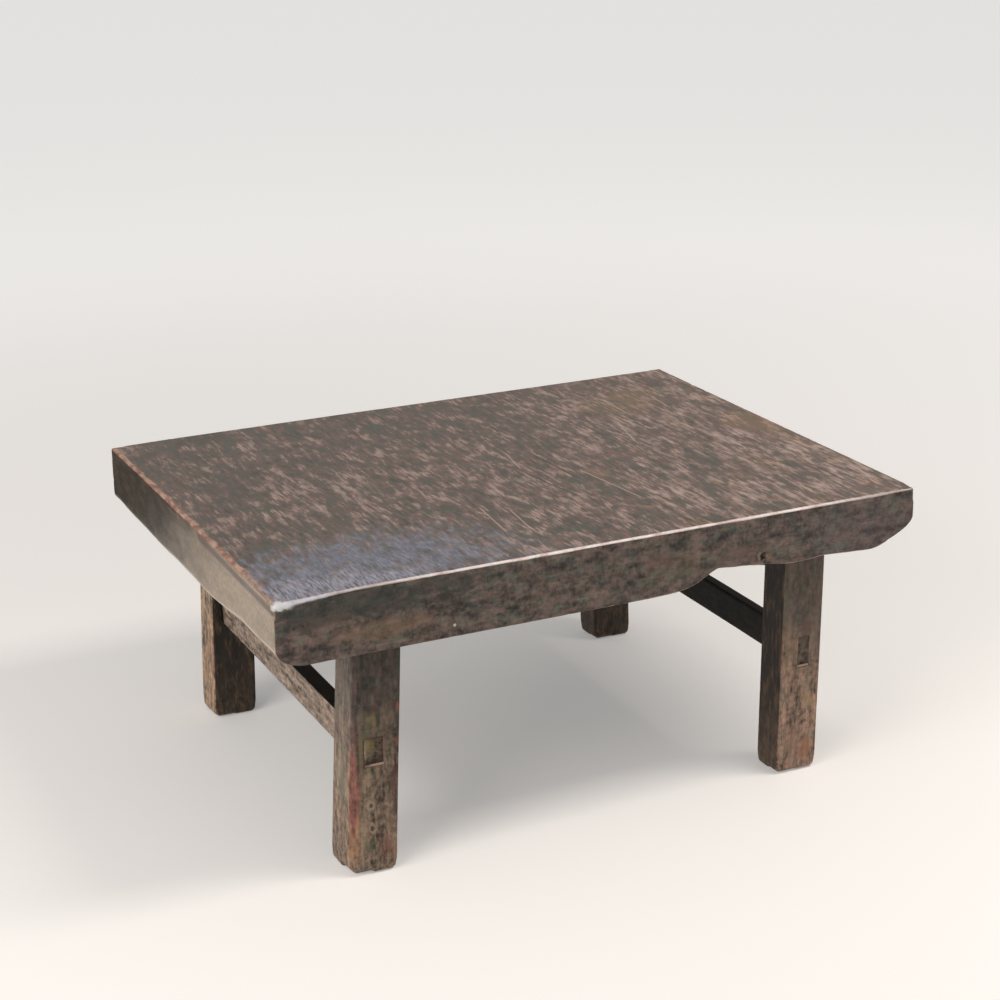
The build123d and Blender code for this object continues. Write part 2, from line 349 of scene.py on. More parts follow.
# %% The bar before it is worn
def plain_bar(tree, given):
    """A grid for the bar. Gives it, and at each of its points: the place in a cube, the share of
    the way from start to end, the half size of the section there, and the place from its middle."""
    block = add(tree, "GeometryNodeMeshCube",
                {"Size": (2, 2, 2), "Vertices X": given["Cells Round"],
                 "Vertices Y": given["Cells Round"], "Vertices Z": given["Cells Along"]})
    place = add(tree, "GeometryNodeInputPosition")
    # The cells crowd at the arrises: part straight, part the sine of the place
    quarter = add(tree, VECTOR, {0: place, 3: math.pi / 2}, operation="SCALE")
    swing = add(tree, VECTOR, {0: quarter}, operation="SINE")
    unit = add(tree, MIX, {0: 0.55, 4: place, 5: swing}, out=1, data_type="VECTOR")
    height = add(tree, "ShaderNodeSeparateXYZ", {0: unit}, out=2)
    share = add(tree, MATH, {0: height, 1: 0.5, 2: 0.5}, operation="MULTIPLY_ADD")
    half = add(tree, MIX, {0: share, 4: given["Start Half"], 5: given["End Half"]}, out=1,
               data_type="VECTOR")
    local = add(tree, VECTOR, {0: unit, 1: half}, operation="MULTIPLY")
    return block, unit, share, half, local


# %% How far its arrises are rounded
def arris_radius(tree, given, unit, share):
    """The radius at this point: more at the start, and more at the flat corner. Gives it, and a
    mask of that corner."""
    at_start = add(tree, RANGE, {0: share, 1: 0.0, 2: 0.07, 3: 1.0, 4: 0.0},
                   interpolation_type="SMOOTHSTEP")
    plain = add(tree, MIX, {0: at_start, 2: given["Arris"], 3: given["Start Arris"]},
                data_type="FLOAT")
    turned = add(tree, VECTOR, {0: unit, 1: given["Flat Corner"]}, operation="MULTIPLY")
    sides = add(tree, "ShaderNodeSeparateXYZ", {0: turned}).node.outputs
    on_x = add(tree, MATH, {0: sides[0], 1: 0.0}, operation="GREATER_THAN")
    on_y = add(tree, MATH, {0: sides[1], 1: 0.0}, operation="GREATER_THAN")
    here = add(tree, MATH, {0: on_x, 1: on_y}, operation="MULTIPLY")
    fading = add(tree, RANGE, {0: share, 1: 0.36, 2: 0.64, 3: 1.0, 4: 0.5},
                 interpolation_type="SMOOTHSTEP")
    flat = add(tree, MATH, {0: given["Flat Arris"], 1: fading}, operation="MULTIPLY")
    larger = add(tree, MATH, {0: flat, 1: plain}, operation="MAXIMUM")
    return add(tree, MIX, {0: here, 2: plain, 3: larger}, data_type="FLOAT"), here


def round_off(tree, local, half, radius, here):
    """Steps out from the nearest point of a smaller bar, by the radius. A flat arris divides the
    step by the sum of its parts, a round one by its length. Gives the place and the way out."""
    inset = add(tree, "ShaderNodeCombineXYZ", {0: radius, 1: radius, 2: radius})
    limit = add(tree, VECTOR, {0: half, 1: inset}, operation="SUBTRACT")
    minus = add(tree, VECTOR, {0: limit, 3: -1.0}, operation="SCALE")
    capped = add(tree, VECTOR, {0: local, 1: limit}, operation="MINIMUM")
    core = add(tree, VECTOR, {0: capped, 1: minus}, operation="MAXIMUM")
    out = add(tree, VECTOR, {0: local, 1: core}, operation="SUBTRACT")
    straight = add(tree, VECTOR, {0: out}, out="Value", operation="LENGTH")
    sizes = add(tree, VECTOR, {0: out}, operation="ABSOLUTE")
    total = add(tree, VECTOR, {0: sizes, 1: (1, 1, 1)}, out="Value", operation="DOT_PRODUCT")
    flatness = add(tree, MATH, {0: here, 1: 0.8}, operation="MULTIPLY")
    divisor = add(tree, MIX, {0: flatness, 2: straight, 3: total}, data_type="FLOAT")
    growth = add(tree, MATH, {0: radius, 1: divisor}, operation="DIVIDE")
    step = add(tree, VECTOR, {0: out, 3: growth}, operation="SCALE")
    return add(tree, VECTOR, {0: core, 1: step}, operation="ADD"), out


# %% Hollows that the adze left
def hollow_out(tree, given, shaped, out):
    """Sinks the faces in hollows that are three times as long as they are wide."""
    drawn = add(tree, VECTOR, {0: shaped, 1: (1.0, 1.0, 0.3)}, operation="MULTIPLY")
    scale = add(tree, MATH, {0: 1.0, 1: given["Hollow Size"]}, operation="DIVIDE")
    lumps = add(tree, "ShaderNodeTexNoise",
                {"Vector": drawn, "W": given["Seed"], "Scale": scale, "Detail": 2.0},
                noise_dimensions="4D")
    depth = add(tree, MATH, {0: lumps, 1: given["Hollow"]}, operation="MULTIPLY")
    sink = add(tree, MATH, {0: depth, 1: -1.0}, operation="MULTIPLY")
    outward = add(tree, VECTOR, {0: out}, operation="NORMALIZE")
    inward = add(tree, VECTOR, {0: outward, 3: sink}, operation="SCALE")
    return add(tree, VECTOR, {0: shaped, 1: inward}, operation="ADD")


# %% Distance from the nearest arris
def from_arris(tree, half, local):
    """In mm, for the materials: the second smallest of the distances to the faces."""
    local_size = add(tree, VECTOR, {0: local}, operation="ABSOLUTE")
    room = add(tree, VECTOR, {0: half, 1: local_size}, operation="SUBTRACT")
    rooms = add(tree, "ShaderNodeSeparateXYZ", {0: room}).node.outputs
    less = add(tree, MATH, {0: rooms[0], 1: rooms[1]}, operation="MINIMUM")
    least = add(tree, MATH, {0: less, 1: rooms[2]}, operation="MINIMUM")
    more = add(tree, MATH, {0: rooms[0], 1: rooms[1]}, operation="MAXIMUM")
    most = add(tree, MATH, {0: more, 1: rooms[2]}, operation="MAXIMUM")
    every = add(tree, VECTOR, {0: room, 1: (1, 1, 1)}, out="Value", operation="DOT_PRODUCT")
    both = add(tree, MATH, {0: least, 1: most}, operation="ADD")
    second = add(tree, MATH, {0: every, 1: both}, operation="SUBTRACT")
    return add(tree, MATH, {0: second, 1: MM}, operation="DIVIDE")


# %% The hewn bar's tree
def fill_hewn_bar(tree):
    """A square bar up from its start to its end, each with its own middle and half size."""
    given = add(tree, "NodeGroupInput").node.outputs
    block, unit, share, half, local = plain_bar(tree, given)
    radius, here = arris_radius(tree, given, unit, share)
    shaped, out = round_off(tree, local, half, radius, here)
    hollowed = hollow_out(tree, given, shaped, out)
    middle = add(tree, MIX, {0: share, 4: given["Start Middle"], 5: given["End Middle"]}, out=1,
                 data_type="VECTOR")
    placed = add(tree, VECTOR, {0: hollowed, 1: middle}, operation="ADD")
    bar = add(tree, "GeometryNodeSetPosition", {"Geometry": block, "Position": placed})
    kept = add(tree, "GeometryNodeStoreNamedAttribute",
               {"Geometry": bar, "Name": "arris", "Value": from_arris(tree, half, local)},
               data_type="FLOAT", domain="POINT")
    smooth = add(tree, "GeometryNodeSetShadeSmooth", {"Geometry": kept})
    real = add(tree, "GeometryNodeRealizeInstances", {"Geometry": smooth})
    coated = add(tree, "GeometryNodeSetMaterial",
                 {"Geometry": real, "Material": given["Material"]})
    add(tree, "NodeGroupOutput", {0: coated})


fill_hewn_bar(hewn_bar)
print("hewn_bar:", len(hewn_bar.nodes), "nodes")

# %% Turn a tree and its inputs into a plain mesh
def grow(name, tree, **values):
    """Runs a tree once with these inputs and keeps the result as an object of its own."""
    blank = bpy.data.objects.new(name + "_blank", bpy.data.meshes.new(name + "_blank"))
    bpy.context.scene.collection.objects.link(blank)
    modifier = blank.modifiers.new("tree", "NODES")
    modifier.node_group = tree
    for socket in tree.interface.items_tree:
        if socket.in_out == "INPUT":
            modifier[socket.identifier] = values[socket.name.lower().replace(" ", "_")]
    evaluated = blank.evaluated_get(bpy.context.evaluated_depsgraph_get())
    mesh = bpy.data.meshes.new_from_object(evaluated)
    bpy.data.objects.remove(blank)
    made = bpy.data.objects.new(name, mesh)
    bpy.context.scene.collection.objects.link(made)
    return made


# %% Cut blocks out of a piece, or join them on
def carve(piece, blocks, operation="DIFFERENCE"):
    """Cuts the blocks out of a piece, or joins them on, and keeps the result as its mesh."""
    for block in blocks:
        modifier = piece.modifiers.new("carve", "BOOLEAN")
        modifier.operation = operation
        modifier.solver = "EXACT"
        modifier.object = block
    evaluated = piece.evaluated_get(bpy.context.evaluated_depsgraph_get())
    mesh = bpy.data.meshes.new_from_object(evaluated)
    piece.modifiers.clear()
    piece.data = mesh
    for block in blocks:
        bpy.data.objects.remove(block)


def block(low_mm, high_mm):
    """A plain block between two corners, for cutting or joining."""
    grid, faces = box_shell((2, 2, 2))
    points = np.array(low_mm) + grid * (np.array(high_mm) - np.array(low_mm))
    return make_mesh("block", points, faces, np.full(len(points), 20.0))


# %% [markdown]
# ## What each leg measures
#
# The legs were hewn by eye. Each one splays out and leans in by its own amount, and the near left
# one is much the stoutest. The numbers are the CAD model's, in mm.

# %% Leg sizes
LEG_WIDTH = 60.0
LEG_INSET = (105.0, 36.0)  # from the plank's end and its long side, at the shoulder
LEG_SHAPE = {  # depth at the shoulder, depth at the foot, splay outwards, lean inwards
    "front_left": (55.0, 65.0, 11.0, 5.0),
    "back_left": (49.0, 57.0, 11.0, 4.0),
    "front_right": (48.0, 48.0, 4.0, 10.0),
    "back_right": (48.0, 48.0, 9.0, 5.0),
}
SHOULDER_TUCK = 3.0  # the leg's shoulder goes this far up into its housing
FOOT_ARRIS, LEG_ARRIS = 7.5, 2.2
NEAR_LEFT_FLAT = 10.5  # the near left leg's hewn-off corner, as wide as this arris


def leg_section(name, height):
    """The middle and half size of a leg's section at a height, in mm."""
    depth, foot_depth, splay, lean = LEG_SHAPE[name]
    side = -1 if name.endswith("left") else 1
    face = -1 if name.startswith("front") else 1
    share = 1 - height / UNDERSIDE
    deep = depth + (foot_depth - depth) * share
    outer_x = PLANK_HIGH[0] - LEG_INSET[0] + splay * share
    outer_y = PLANK_HIGH[1] - LEG_INSET[1] - lean * share
    return (np.array([side * (outer_x - LEG_WIDTH / 2), face * (outer_y - deep / 2)]),
            np.array([LEG_WIDTH / 2, deep / 2]))


def make_leg(name, seed):
    """A leg from the floor up into the plank. Its mortise and tenon are cut further on."""
    top = UNDERSIDE + SHOULDER_TUCK
    foot_middle, foot_half = leg_section(name, 0.0)
    top_middle, top_half = leg_section(name, top)
    flat = NEAR_LEFT_FLAT if name == "front_left" else 0.0
    return grow(
        "leg_" + name + "_worn", hewn_bar,
        start_middle=Vector((*foot_middle, top / 2)) * MM,
        end_middle=Vector((*top_middle, top / 2)) * MM,
        start_half=Vector((*foot_half, top / 2)) * MM,
        end_half=Vector((*top_half, top / 2)) * MM,
        arris=LEG_ARRIS * MM, start_arris=FOOT_ARRIS * MM, flat_arris=flat * MM,
        flat_corner=Vector((-1, -1, 0)), hollow=1.1 * MM, hollow_size=34 * MM, seed=seed,
        cells_round=20, cells_along=110, material=None)


legs = {name: make_leg(name, seed) for seed, name in enumerate(LEGS, 3)}
for name, leg in legs.items():
    print("leg", name, len(leg.data.polygons), "faces")

# %% [markdown]
# ## The joints
#
# Each stretcher runs through its legs and shows its end on their outer faces, held by a thin wedge
# driven in below it. Each leg goes up into the plank with a blind tenon, which a hidden wedge
# spreads. The joints could be painted on, but a real hole with a real tenon in it catches the light
# properly, so they are cut and joined with exact booleans.

# %% Joint sizes
RAILS = {  # side: thickness, middle of its height, middle across X, height of tenon with wedge
    "left": (23.5, 158.0, -297.75, 36.0),
    "right": (16.0, 171.0, 295.3, 41.0),
}
RAIL_HEIGHT = 43.0
RAIL_ARRIS = 1.8
RAIL_TUCK = 3.0      # the rail's shoulders go this far into the legs
TENON_DROP = 1.5     # the tenon's top lies this far below the rail's
TENON_ROOT = 4.0     # the tenon starts this far inside the rail
TENON_SUNK = 0.5     # its end lies this far below the leg's face
WEDGE_THICK = 3.0
JOINT_GAP = 0.35
LEG_TENON = (34.0, 26.0, 46.0)
KERF_HALF = 2.1      # half the width of the saw kerf in a leg's tenon
KERF_RISE = 17.8     # and where it starts above the plank's underside
HOUSING_GAP = 0.2    # round a leg's tenon
HOUSING_SPARE = 2.0  # past its end
OVERSHOOT = 5.0      # how far a cutting block runs past what it cuts
MORTISE_PAST = 6.0   # and the block of a rail's mortise, past the leg's face
print("left tenon and wedge:", RAILS["left"][0], "by", RAILS["left"][3], "mm")

# %% The end of a stretcher
def outer_y(name, height):
    """Where a leg's outer long face is at a height, in mm."""
    middle, half = leg_section(name, height)
    return middle[1] + math.copysign(half[1], middle[1])


def tenon_block(name, gap, recess):
    """The end of a stretcher in a leg: its end face lies as the leg's face does."""
    thick, mid, across, zone = RAILS[name.split("_")[1]]
    top = mid + RAIL_HEIGHT / 2 - TENON_DROP
    bottom = top - zone + (0 if gap else WEDGE_THICK)
    middle, half = leg_section(name, mid)
    face = math.copysign(1.0, middle[1])
    inner = middle[1] - face * (half[1] + TENON_ROOT)
    grid, faces = box_shell((2, 2, 2))
    end_on_high = face > 0
    x = across + (grid[:, 0] * 2 - 1) * (thick / 2 + gap)
    z = np.where(grid[:, 2] == 1, top + gap, bottom - gap)
    end = np.array([outer_y(name, height) - face * recess for height in z])
    y = np.where((grid[:, 1] == 1) == end_on_high, end, inner)
    return make_mesh("tenon", np.stack([x, y, z], axis=1), faces, np.full(len(x), 6.0))


# %% Cut the legs and tenon them
for name, leg in legs.items():
    (mid_x, mid_y), _ = leg_section(name, UNDERSIDE)
    wide, deep, tall = LEG_TENON
    tenon = block((mid_x - wide / 2, mid_y - deep / 2, UNDERSIDE - OVERSHOOT),
                  (mid_x + wide / 2, mid_y + deep / 2, UNDERSIDE + tall))
    carve(leg, [tenon], "UNION")
    kerf = block((mid_x - KERF_HALF, mid_y - deep, UNDERSIDE + KERF_RISE),
                 (mid_x + KERF_HALF, mid_y + deep, UNDERSIDE + tall + OVERSHOOT))
    carve(leg, [tenon_block(name, JOINT_GAP, -MORTISE_PAST), kerf])
    print("leg", name, "jointed:", len(leg.data.polygons), "faces")

# %% House the leg tenons in the plank
housings = []
for name in LEGS:
    (mid_x, mid_y), _ = leg_section(name, UNDERSIDE)
    wide, deep, tall = LEG_TENON
    half_x, half_y = wide / 2 + HOUSING_GAP, deep / 2 + HOUSING_GAP
    housings.append(block(
        (mid_x - half_x, mid_y - half_y, UNDERSIDE - OVERSHOOT),
        (mid_x + half_x, mid_y + half_y, UNDERSIDE + tall + HOUSING_SPARE)))
carve(plank, housings)
print("plank housed:", len(plank.data.polygons), "faces")

# %% Stretchers
def make_stretcher(side, seed):
    """A stretcher: a rail that lies along Y, with a tenon at each end."""
    thick, mid, across, _ = RAILS[side]
    inner = []
    for end in ("front_", "back_"):
        middle, half = leg_section(end + side, mid)
        inner.append(middle[1] - math.copysign(half[1] - RAIL_TUCK, middle[1]))
    run = inner[1] - inner[0]
    half_way = Vector((0, 0, run / 2)) * MM
    half_size = Vector((thick / 2, RAIL_HEIGHT / 2, run / 2)) * MM
    rail = grow(
        "stretcher_" + side + "_worn", hewn_bar, start_middle=half_way, end_middle=half_way,
        start_half=half_size, end_half=half_size, arris=RAIL_ARRIS * MM,
        start_arris=RAIL_ARRIS * MM, flat_arris=0.0, flat_corner=Vector((-1, -1, 0)),
        hollow=0.8 * MM, hollow_size=30 * MM, seed=seed, cells_round=12, cells_along=130,
        material=None)
    # The tree makes an upright bar, which is laid down along Y here
    lay = Matrix.Translation(Vector((across, inner[0], mid)) * MM) @ Matrix(
        ((1, 0, 0, 0), (0, 0, 1, 0), (0, -1, 0, 0), (0, 0, 0, 1)))
    rail.data.transform(lay)
    tenons = [tenon_block(end + side, 0.0, TENON_SUNK) for end in ("front_", "back_")]
    carve(rail, tenons, "UNION")
    return rail


rails = {side: make_stretcher(side, seed) for seed, side in enumerate(RAILS, 11)}
for side, rail in rails.items():
    print("stretcher", side, len(rail.data.polygons), "faces")

# %% [markdown]
# ## Old lacquer over elm
#
# The finish is black lacquer, brushed thin over red-brown elm a century ago. It isn't black any
# more: it has gone green-black where it is thick and red-brown where it is thin, and along every
# arris and across the top it is rubbed through to the wood. In the nodes that is a ground of two
# dark colours, then masks of noise that lay rubbed wood over it, each drawn out along the way the
# wear or the grain runs. All of it reads Object coordinates, so it is solid, like wood.

# %% A mask of noise
def lumps(tree, place, size_mm, low, high, seed=0.0, detail=3.0, lift=None):
    """A mask from 0 to 1: noise whose lumps have this size along X, Y and Z, cut low to high.
    A lift is another mask: where it is 1 there is more of this one."""
    scale = tuple(1.0 / (size * MM) for size in size_mm)
    drawn = add(tree, VECTOR, {0: place, 1: scale, 2: (seed, seed * 1.7, seed * 2.3)},
                operation="MULTIPLY_ADD")
    cloud = add(tree, "ShaderNodeTexNoise", {"Vector": drawn, "Scale": 1.0, "Detail": detail,
                                             "Roughness": 0.6})
    if lift is not None:
        cloud = add(tree, MATH, {0: lift, 1: 0.14, 2: cloud}, operation="MULTIPLY_ADD")
    return add(tree, RANGE, {0: cloud, 1: low, 2: high}, interpolation_type="SMOOTHSTEP")


# %% Masks for a place
def between(tree, value, low_mm, high_mm):
    """A mask that goes smoothly from 0 to 1 as a place along one axis goes from low to high."""
    return add(tree, RANGE, {0: value, 1: low_mm * MM, 2: high_mm * MM},
               interpolation_type="SMOOTHSTEP")


def spot(tree, place, middle_mm, reach_mm, ragged):
    """A soft mask round a point, 1 at its middle. A ragged noise mask breaks up its rim."""
    scale = tuple(1.0 / (reach * MM) for reach in reach_mm)
    shift = tuple(-m * MM * s for m, s in zip(middle_mm, scale))
    local = add(tree, VECTOR, {0: place, 1: scale, 2: shift}, operation="MULTIPLY_ADD")
    away = add(tree, VECTOR, {0: local}, out="Value", operation="LENGTH")
    rough = add(tree, MATH, {0: ragged, 1: -0.7, 2: away}, operation="MULTIPLY_ADD")
    return add(tree, RANGE, {0: rough, 1: 0.05, 2: 0.75, 3: 1.0, 4: 0.0},
               interpolation_type="SMOOTHSTEP")


def scratch(tree, place, start_mm, end_mm, width_mm):
    """A mask along a straight scratch."""
    start, end = Vector(start_mm) * MM, Vector(end_mm) * MM
    along = end - start
    local = add(tree, VECTOR, {0: place, 1: start}, operation="SUBTRACT")
    share = add(tree, VECTOR, {0: local, 1: along / along.length_squared}, out="Value",
                operation="DOT_PRODUCT")
    held = add(tree, MATH, {0: share, 1: 0.0}, operation="ADD", use_clamp=True)
    nearest = add(tree, VECTOR, {0: along, 3: held}, operation="SCALE")
    away = add(tree, VECTOR, {0: local, 1: nearest}, out="Value", operation="DISTANCE")
    return add(tree, RANGE, {0: away, 1: 0.3 * width_mm * MM, 2: width_mm * MM, 3: 1.0, 4: 0.0},
               interpolation_type="SMOOTHSTEP")


# %% Colours over colours, and the depth of wear
def over(tree, under, colour, mask, strength=1.0):
    """Lays a colour over another where the mask is."""
    amount = add(tree, MATH, {0: mask, 1: strength}, operation="MULTIPLY", use_clamp=True)
    return add(tree, MIX, {0: amount, 6: under, 7: colour}, out=2, data_type="RGBA")


def wear_depth(tree, place, layers):
    """Adds up layers of noise, each with its size in mm, its seed and its share, to one depth of
    wear. With shares that add up to 1 it is about 0.5 and mostly between 0.25 and 0.75."""
    depth = 0.0
    for size_mm, seed, share in layers:
        layer = lumps(tree, place, size_mm, 0.28, 0.72, seed, 2.0)
        depth = add(tree, MATH, {0: layer, 1: share, 2: depth}, operation="MULTIPLY_ADD")
    return depth


def lighten(tree, colour, depth, least, most):
    """Multiplies a colour by least where the depth of wear is 0.2, and by most where it is 0.8."""
    times = add(tree, RANGE, {0: depth, 1: 0.2, 2: 0.8, 3: least, 4: most})
    return add(tree, VECTOR, {0: colour, 3: times}, operation="SCALE")


# %% Masks for the ways that faces look
def facing(tree, normal, axis, both_ways=True):
    """A mask for the faces that look along an axis: X 0, Y 1 or Z 2."""
    way = add(tree, "ShaderNodeSeparateXYZ", {0: normal}, out=axis)
    if both_ways:
        way = add(tree, MATH, {0: way}, operation="ABSOLUTE")
    return add(tree, RANGE, {0: way, 1: 0.55, 2: 0.85}, interpolation_type="SMOOTHSTEP")


def looking(tree, normal, way, low=0.5, high=0.9):
    """A mask for the faces that look this way."""
    share = add(tree, VECTOR, {0: normal, 1: way}, out="Value", operation="DOT_PRODUCT")
    return add(tree, RANGE, {0: share, 1: low, 2: high}, interpolation_type="SMOOTHSTEP")


def both(tree, first, second):
    """Where both masks are."""
    return add(tree, MATH, {0: first, 1: second}, operation="MULTIPLY")


def near_arris(tree, arris, least_mm, most_mm, waver):
    """A mask along the arrises, least_mm to most_mm wide as the waver goes from 0 to 1."""
    limit = add(tree, MATH, {0: waver, 1: most_mm - least_mm, 2: least_mm},
                operation="MULTIPLY_ADD")
    share = add(tree, MATH, {0: arris, 1: limit}, operation="DIVIDE")
    return add(tree, RANGE, {0: share, 1: 0.5, 2: 1.0, 3: 1.0, 4: 0.0},
               interpolation_type="SMOOTHSTEP")


# %% [markdown]
# ### The top
#
# A century of wiping and scrubbing across the boards has rubbed the lacquer away in short strokes
# that lie in drifts. A single noise looks like speckle, so five of them are added up, from drifts
# the width of a hand down to strokes two millimetres wide, and the sum is read as one depth of
# wear: black lacquer, brown wood, pale wood. There is most at the right, and hardly any at the near
# left corner, where the lacquer has been polished instead. A cold blue-grey sheen is painted on
# there, which is a painted reflection of the sky.

# %% Strokes on the top
TOP_STROKES = [  # size in mm, seed, share of the wear
    ((80, 95, 60), 4.0, 0.12), ((22, 50, 30), 5.0, 0.18), ((9, 26, 15), 26.0, 0.28),
    ((4.0, 36, 6), 3.0, 0.26), ((2.6, 13, 4), 7.0, 0.16),
]
WEAR_DRIFTS = [  # middle and reach in mm, and how much more wear there is
    ((-285, 0, 383), (130, 180, 60), 0.07), ((-265, 255, 383), (200, 70, 60), -0.07),
    ((20, -240, 383), (160, 60, 60), -0.06),
]


def rub_top(tree, place, colour, top, polished):
    """Lays the strokes over a colour. Gives that colour and the mask of the strokes."""
    slope = add(tree, VECTOR, {0: place, 1: (0.62, -0.15, 0.0)}, out="Value",
                operation="DOT_PRODUCT")
    use = add(tree, RANGE, {0: slope, 1: -0.10, 2: 0.26}, interpolation_type="SMOOTHSTEP")
    wear = wear_depth(tree, place, TOP_STROKES)
    wear = add(tree, MATH, {0: use, 1: 0.10, 2: wear}, operation="MULTIPLY_ADD")
    # Where the lacquer is thick and green, and at the polished corner, it has held better
    thick = lumps(tree, place, (24, 38, 30), 0.48, 0.66, 2.0)
    wear = add(tree, MATH, {0: thick, 1: -0.10, 2: wear}, operation="MULTIPLY_ADD")
    wear = add(tree, MATH, {0: polished, 1: -0.12, 2: wear}, operation="MULTIPLY_ADD")
    for middle, reach, more in WEAR_DRIFTS:
        drift = spot(tree, place, middle, reach, thick)
        wear = add(tree, MATH, {0: drift, 1: more, 2: wear}, operation="MULTIPLY_ADD")
    warm = lumps(tree, place, (30, 46, 40), 0.62, 0.80, 6.0, lift=use)
    wood = over(tree, "#7b6862", "#8c7058", warm, 0.6)
    wood = over(tree, wood, "#625c52", lumps(tree, place, (8, 20, 20), 0.46, 0.64, 37.0), 0.55)
    rubbed = add(tree, RANGE, {0: wear, 1: 0.26, 2: 0.64})
    rubbed = both(tree, rubbed, top)
    colour = over(tree, colour, wood, rubbed, 0.92)
    colour = over(tree, colour, "#3a4a40", both(tree, thick, top), 0.4)
    green = lumps(tree, place, (8, 15, 20), 0.50, 0.64, 32.0)
    colour = over(tree, colour, "#45564a", both(tree, green, top), 0.35)
    red = lumps(tree, place, (8, 17, 20), 0.52, 0.68, 29.0)
    colour = over(tree, colour, "#7a5350", both(tree, red, top), 0.4)
    pale = add(tree, RANGE, {0: wear, 1: 0.55, 2: 0.88})
    colour = over(tree, colour, "#bfa9a0", both(tree, pale, top), 0.65)
    return colour, rubbed


# %% Scratches on the top
PALE_SCRATCHES = [  # start and end on the top, and width, in mm
    ((88, -62, 383), (104, -193, 383), 1.6), ((270, 211, 383), (267, 139, 383), 1.8),
    ((339, 190, 383), (336, 145, 383), 1.6), ((-91, -138, 383), (-100, -231, 383), 1.4),
    ((233, 99, 383), (212, 15, 383), 1.6), ((-61, -162, 383), (-69, -232, 383), 1.4),
    ((34, 48, 383), (23, -19, 383), 1.3),
]
DARK_SCRATCHES = [((63, 20, 383), (71, -93, 383), 1.8), ((20, -40, 383), (36, -150, 383), 1.3)]
print("scratches:", len(PALE_SCRATCHES), "pale and", len(DARK_SCRATCHES), "dark")

# %% The polished corner and its painted sheen
def paint_corner_sheen(tree, place, colour, top, polished, ragged):
    """Lays a painted sheen over a colour, a painted reflection of the sky: thin and blue-grey over
    all of the polished lacquer, and a whiter painted haze with fine ticks towards the corner
    itself."""
    ticks = lumps(tree, place, (2.8, 16, 8), 0.25, 0.75, 10.0, 2.0)
    painted_sheen = over(tree, "#515a70", "#8891aa", ticks)
    patchy = lumps(tree, place, (20, 26, 10), 0.36, 0.60, 36.0)
    amount = add(tree, MATH, {0: patchy, 1: 0.38, 2: 0.26}, operation="MULTIPLY_ADD")
    amount = both(tree, amount, polished)
    colour = over(tree, colour, painted_sheen, both(tree, both(tree, polished, top), amount))
    # The whiter painted reflection at the corner itself, broken up by the ticks
    painted_haze = both(tree, spot(tree, place, (-372, -302, 380), (150, 46, 60), ragged), top)
    return over(tree, colour, "#b0b0c0", both(tree, painted_haze, ticks), 0.6)


# %% [markdown]
# ### The faces and ends
#
# The long faces have kept their lacquer best. It is mottled, with the elm's grain faint in it, and
# there are warmer patches low down. The left end was handled most: its end grain is bare and
# smooth towards the front, and still black at the back. Its pale front is also a painted
# reflection of the white floor.

# %% Long faces
FACE_MOTTLES = [  # size in mm, seed, share of the wear
    ((50, 30, 22), 11.0, 0.26), ((17, 12, 11), 14.0, 0.40), ((5.5, 5.5, 5), 13.0, 0.22),
    ((2.6, 5, 7), 30.0, 0.12),
]


def mottle_face(tree, place, long_face):
    """The two long faces: green-black lacquer, worn red-brown, with mottles of every size.
    Gives the colour and the grain's mask."""
    green = lumps(tree, place, (20, 16, 11), 0.46, 0.64, 22.0)
    tone = over(tree, "#514640", "#414a42", green, 0.65)
    red = lumps(tree, place, (17, 14, 9), 0.52, 0.68, 31.0)
    tone = over(tree, tone, "#624847", red, 0.5)
    grain = both(tree, lumps(tree, place, (52, 30, 2.4), 0.50, 0.70, 12.0), long_face)
    tone = over(tree, tone, "#77665a", grain, 0.25)
    return lighten(tree, tone, wear_depth(tree, place, FACE_MOTTLES), 0.20, 1.95), grain


# %% Patches on the plank: middle and reach in mm, tint and strength
FRONT_PATCHES = [
    ((-330, -320, 364), (180, 40, 24), "#252b27", 0.65),
    ((345, -320, 350), (110, 40, 50), "#5f5155", 0.25),
    ((-290, -320, 326), (70, 60, 16), "#7a6048", 0.35),
    ((87, -320, 333), (50, 60, 22), "#6f5f48", 0.3),
    ((59, -320, 352), (26, 40, 9), "#6a4b48", 0.4),
    ((170, -320, 339), (52, 60, 13), "#6c534d", 0.4),
    ((-214, -320, 351), (32, 40, 12), "#22211e", 0.5),
    ((-360, -320, 348), (30, 40, 12), "#5a4c42", 0.4),
    ((-209, -320, 316), (2.0, 8, 2.0), "#bdb6ac", 1.0),
]
TOP_PATCHES = [
    ((406, 8, 383), (50, 60, 40), "#86684a", 0.35),
    ((264, 166, 383), (70, 60, 40), "#826b4c", 0.25),
    ((316, 209, 383), (50, 60, 40), "#866c4e", 0.25),
    ((105, -85, 383), (12, 20, 40), "#8f6c58", 0.35),
    ((-138, -258, 383), (7, 12, 40), "#a8736b", 0.6),
    ((-305, 303, 383), (60, 30, 40), "#2c352b", 0.5),
    ((-330, 60, 383), (70, 60, 40), "#2f3833", 0.25),
]
LEFT_END_PATCHES = [
    ((-425, -141, 316), (9, 4, 3.5), "#33251c", 0.9),
    ((-425, -190, 313), (9, 5, 3.5), "#33251c", 0.9),
]
KNOT_PATCHES = [  # the pale rim on both sides, and the dark slit, which curves to the right
    ((198.5, -320, 330), (3.0, 12, 7), "#8f7d66", 0.5),
    ((213, -320, 328), (5, 12, 6), "#7f664f", 0.45),
    ((203.5, -320, 328), (3.0, 14, 5), "#171412", 1.0),
    ((206, -320, 324), (3.2, 14, 4.5), "#171412", 1.0),
    ((210, -320, 319.5), (6, 14, 2.5), "#1c1815", 0.8),
]
print("patches on the front and the top:", len(FRONT_PATCHES), "and", len(TOP_PATCHES))

